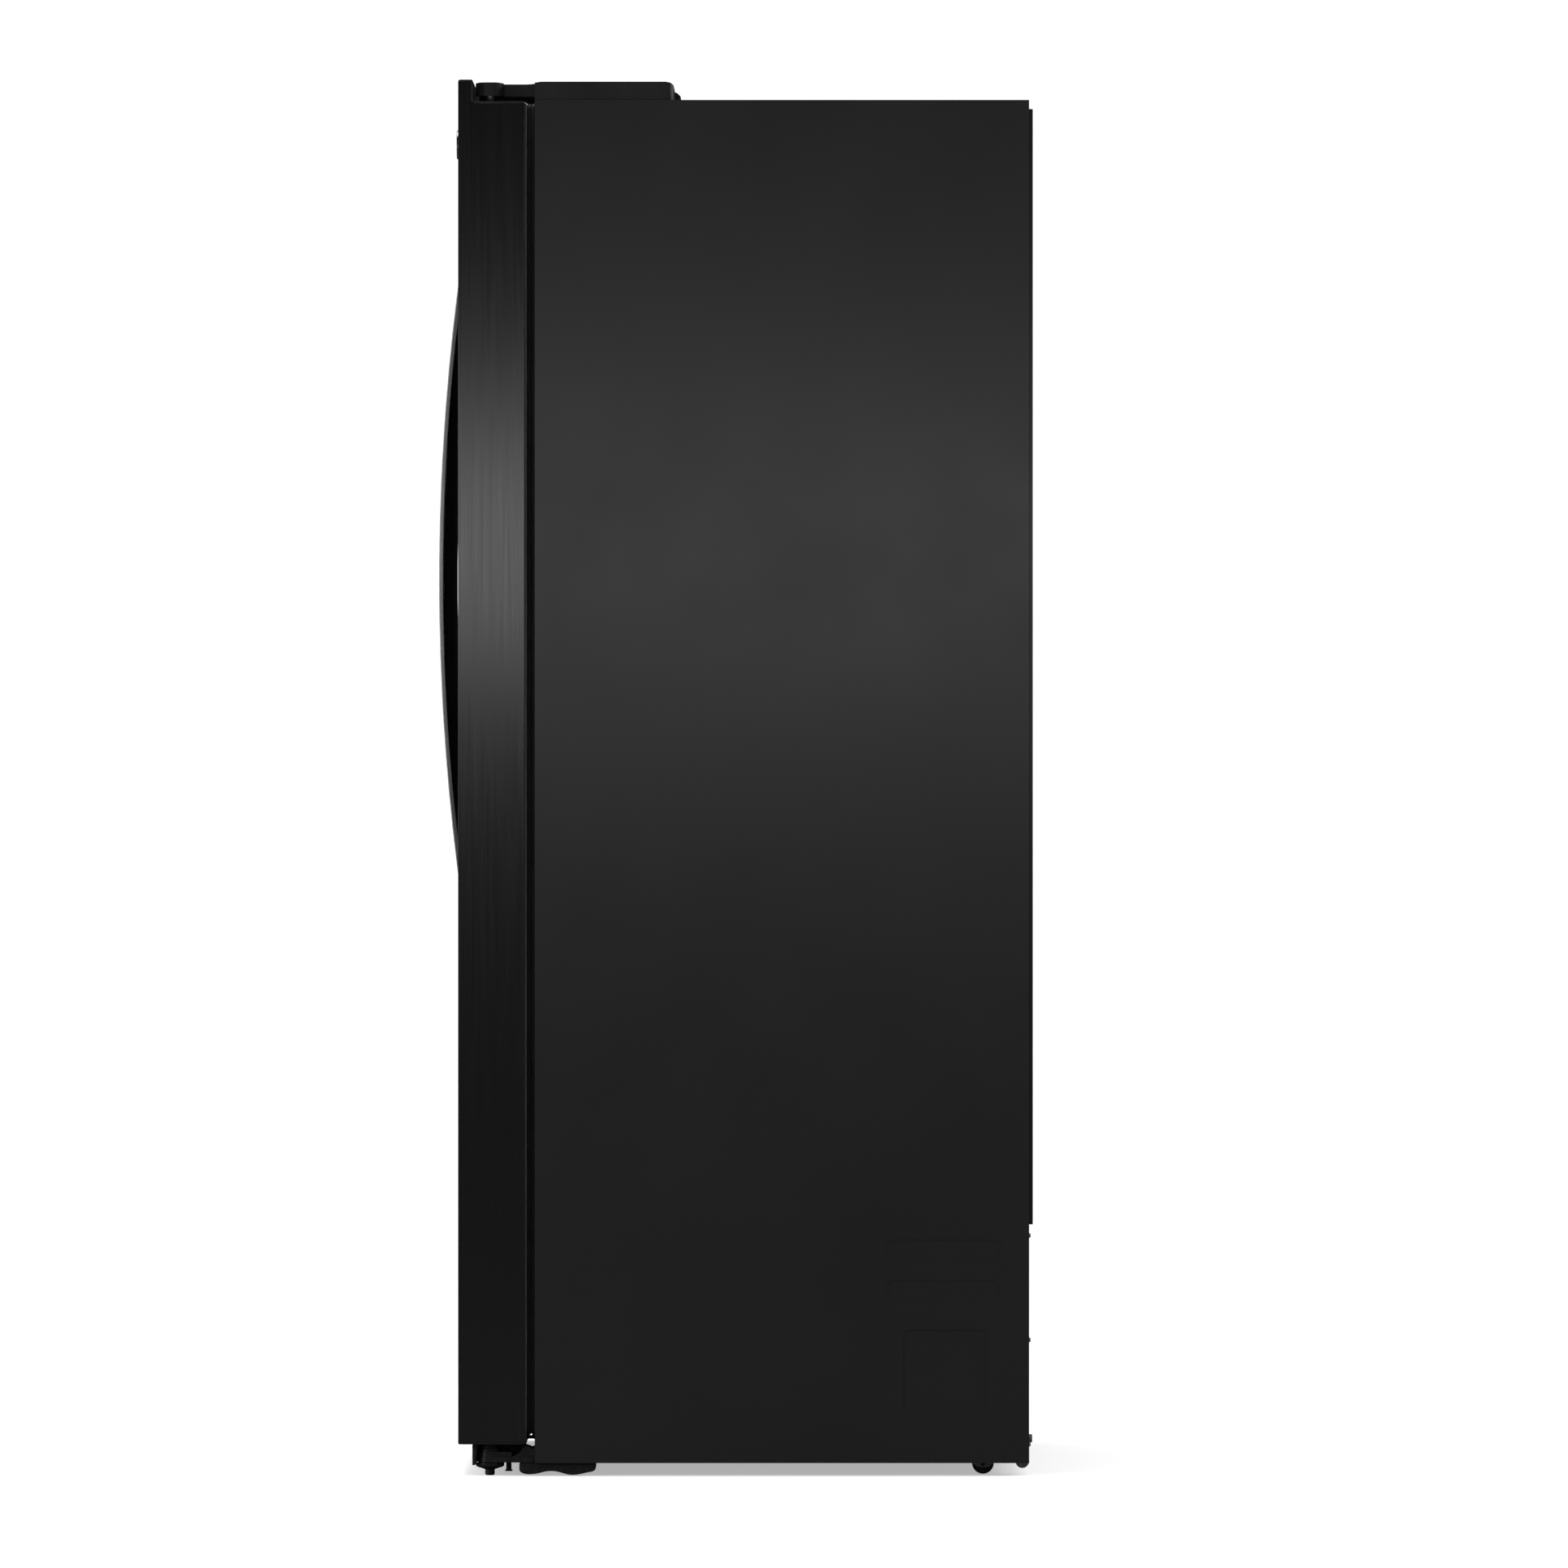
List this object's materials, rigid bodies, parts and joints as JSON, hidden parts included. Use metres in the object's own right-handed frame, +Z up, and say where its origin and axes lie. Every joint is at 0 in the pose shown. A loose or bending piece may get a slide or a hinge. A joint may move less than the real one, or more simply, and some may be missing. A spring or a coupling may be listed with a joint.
{
  "type": "side-by-side refrigerator",
  "caption": "Tall counter-depth refrigerator with full-height freezer and fresh food doors on side hinges, bowed handles, a water and ice dispenser, shelves, door bins and drawers.",
  "frame": {"origin": "centre of the footprint's bounding box, at floor level", "axes": "+Z up, -Y out of the door fronts, +X to the right of somebody who stands facing the doors"},
  "size_m": [0.912, 0.772, 1.785],
  "materials": {
    "case_paint": "satin",
    "door_steel": "satin",
    "handle_steel": "satin",
    "black_plastic": "satin",
    "liner_plastic": "satin",
    "clear_plastic": "gloss",
    "shelf_glass": "gloss",
    "gasket_rubber": "matte",
    "wheel_plastic": "matte",
    "zinc_steel": "satin",
    "hinge_steel": "satin",
    "machine_paint": "satin",
    "foam": "matte",
    "fin_aluminium": "satin",
    "valve_body": "satin",
    "panel_black": "gloss"
  },
  "bodies": {
    "cabinet": {"cabinet_wrapper": "case_paint", "freezer_liner": "liner_plastic", "fresh_food_liner": "liner_plastic", "insulation_foam": "foam", "base_plate": "zinc_steel", "base_frame": "zinc_steel", "rear_panel": "case_paint", "compressor_cover": "machine_paint", "compressor": "machine_paint", "condenser": "fin_aluminium", "fan_shroud": "black_plastic", "water_valve": "valve_body", "toe_grille": "black_plastic", "wire_cover": "black_plastic", "upper_hinge_right": "zinc_steel", "upper_hinge_left": "zinc_steel", "hinge_cover_right": "black_plastic", "hinge_cover_left": "black_plastic", "lower_hinge_right": "hinge_steel", "lower_hinge_left": "hinge_steel", "roller_shield_right": "hinge_steel", "roller_shield_left": "hinge_steel", "freezer_shelf_1": "shelf_glass", "freezer_shelf_2": "shelf_glass", "fresh_food_shelf_1": "shelf_glass", "fresh_food_shelf_2": "shelf_glass"},
    "right_door": {"right_door_skin": "door_steel", "right_door_core": "foam", "right_door_top_cap": "black_plastic", "right_door_bottom_cap": "black_plastic", "right_door_liner": "liner_plastic", "right_door_gasket": "gasket_rubber", "right_handle_grip": "handle_steel", "right_handle_web": "black_plastic", "right_door_bin_1": "clear_plastic", "right_door_bin_2": "clear_plastic", "right_door_bin_3": "clear_plastic", "blank_badge": "handle_steel"},
    "left_door": {"left_door_skin": "door_steel", "left_door_core": "foam", "left_door_top_cap": "black_plastic", "left_door_bottom_cap": "black_plastic", "left_door_liner": "liner_plastic", "left_door_gasket": "gasket_rubber", "left_handle_grip": "handle_steel", "left_handle_web": "black_plastic", "left_door_bin_1": "clear_plastic", "left_door_bin_2": "clear_plastic", "dispenser_housing": "black_plastic", "dispenser_panel": "panel_black"},
    "paddle": {"dispenser_paddle": "black_plastic"},
    "tray": {"drip_tray": "black_plastic"},
    "freezer_basket": {"freezer_drawer": "clear_plastic"},
    "crisper_upper": {"crisper_drawer_upper": "clear_plastic"},
    "crisper_lower": {"crisper_drawer_lower": "clear_plastic"},
    "fan": {"condenser_fan": "wheel_plastic"},
    "leg_right": {"leveling_leg_right": "hinge_steel"},
    "leg_left": {"leveling_leg_left": "hinge_steel"},
    "roller_right": {"rear_roller_right": "wheel_plastic"},
    "roller_left": {"rear_roller_left": "wheel_plastic"}
  },
  "joints": [
    {"name": "right_door_hinge", "type": "hinge", "parent": "cabinet", "child": "right_door", "pos_m": [0.428, -0.3088, 0], "axis": [0, 0, 1], "range_deg": [0, 130]},
    {"name": "left_door_hinge", "type": "hinge", "parent": "cabinet", "child": "left_door", "pos_m": [-0.428, -0.3088, 0], "axis": [0, 0, -1], "range_deg": [0, 130]},
    {"name": "dispenser_paddle_hinge", "type": "hinge", "parent": "left_door", "child": "paddle", "pos_m": [-0.258, -0.3, 1.172], "axis": [1, 0, 0], "range_deg": [0, 12], "stiffness_Nm_per_rad": 0.08, "springref_deg": -11.46},
    {"name": "drip_tray_slide", "type": "slide", "parent": "left_door", "child": "tray", "axis": [0, -1, 0], "range_m": [0, 0.045]},
    {"name": "freezer_drawer_slide", "type": "slide", "parent": "cabinet", "child": "freezer_basket", "axis": [0, -1, 0], "range_m": [0, 0.23]},
    {"name": "crisper_upper_slide", "type": "slide", "parent": "cabinet", "child": "crisper_upper", "axis": [0, -1, 0], "range_m": [0, 0.23]},
    {"name": "crisper_lower_slide", "type": "slide", "parent": "cabinet", "child": "crisper_lower", "axis": [0, -1, 0], "range_m": [0, 0.23]},
    {"name": "condenser_fan_spin", "type": "hinge", "parent": "cabinet", "child": "fan", "pos_m": [0.052, 0.277, 0.14], "axis": [1, 0, 0], "continuous": true},
    {"name": "leveling_leg_right_screw", "type": "slide", "parent": "cabinet", "child": "leg_right", "axis": [0, 0, -1], "range_m": [0, 0.012]},
    {"name": "leveling_leg_left_screw", "type": "slide", "parent": "cabinet", "child": "leg_left", "axis": [0, 0, -1], "range_m": [0, 0.012]},
    {"name": "rear_roller_right_spin", "type": "hinge", "parent": "cabinet", "child": "roller_right", "pos_m": [0.392, 0.3227, 0.014], "axis": [1, 0, 0], "continuous": true},
    {"name": "rear_roller_left_spin", "type": "hinge", "parent": "cabinet", "child": "roller_left", "pos_m": [-0.392, 0.3227, 0.014], "axis": [1, 0, 0], "continuous": true}
  ],
  "couplings": [
    {"joint": "freezer_drawer_slide", "follows": "left_door_hinge", "m_per_rad": 0.1},
    {"joint": "crisper_upper_slide", "follows": "right_door_hinge", "m_per_rad": 0.1},
    {"joint": "crisper_lower_slide", "follows": "right_door_hinge", "m_per_rad": 0.1}
  ]
}
